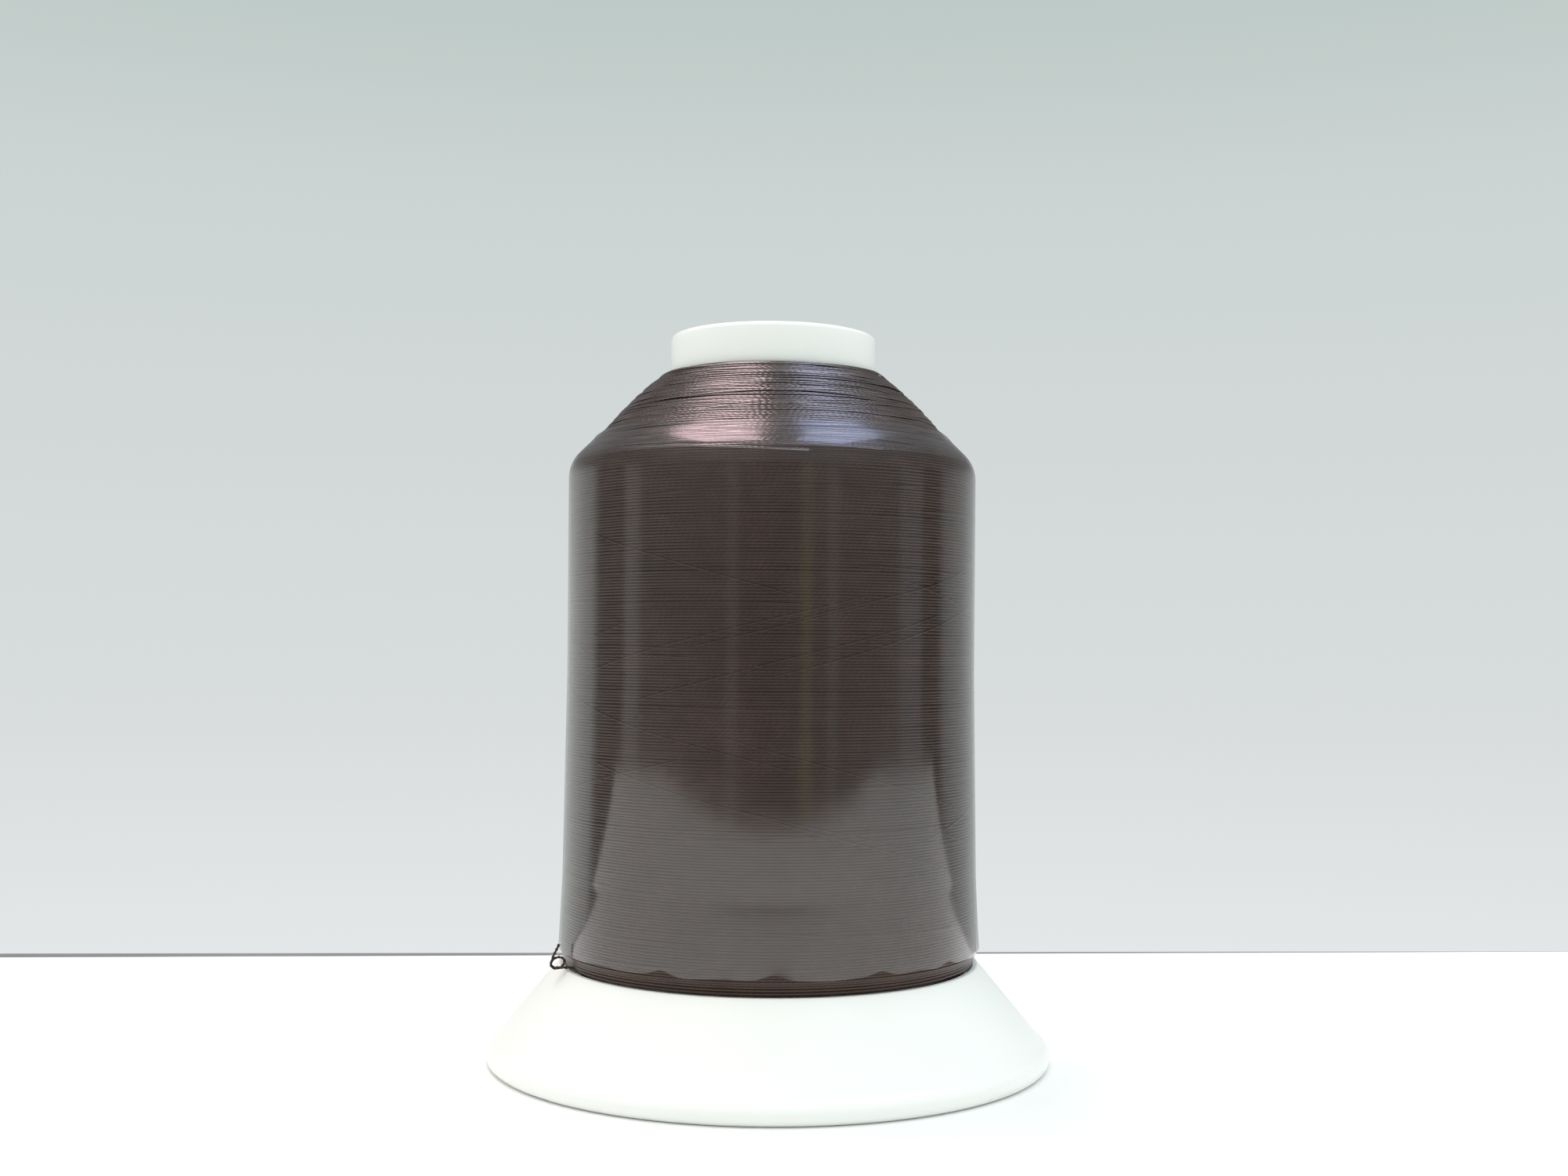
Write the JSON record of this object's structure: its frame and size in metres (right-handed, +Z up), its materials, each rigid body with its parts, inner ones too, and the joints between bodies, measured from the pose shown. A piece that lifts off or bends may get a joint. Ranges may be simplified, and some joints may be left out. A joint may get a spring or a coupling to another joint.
{
  "type": "spool of thread",
  "caption": "Snap-base spool of wound embroidery thread with a conical shoulder under clear film, on a white barrel with a bell-shaped foot that pulls open to lock the thread end.",
  "frame": {"origin": "centre of the foot's resting plane, on the spool's axis", "axes": "+Z up along the spool's axis; the curl of the thread end stands off at -X, a little towards -Y"},
  "size_m": [0.0586, 0.0586, 0.0752],
  "materials": {
    "white_plastic": "satin moulded polypropylene",
    "thread": "lustrous trilobal embroidery thread, dark brown",
    "film": "clear glossy shrink film",
    "label_paper": "matt self-adhesive paper, blank"
  },
  "bodies": {
    "base": {"snap_base": "white_plastic", "base_label": "label_paper"},
    "barrel": {"core_barrel": "white_plastic", "thread_package": "thread", "film_sleeve": "film", "thread_tail": "thread"}
  },
  "joints": [
    {"name": "snap_open", "type": "slide", "parent": "base", "child": "barrel", "axis": [0, 0, 1], "range_m": [0, 0.0035]}
  ]
}
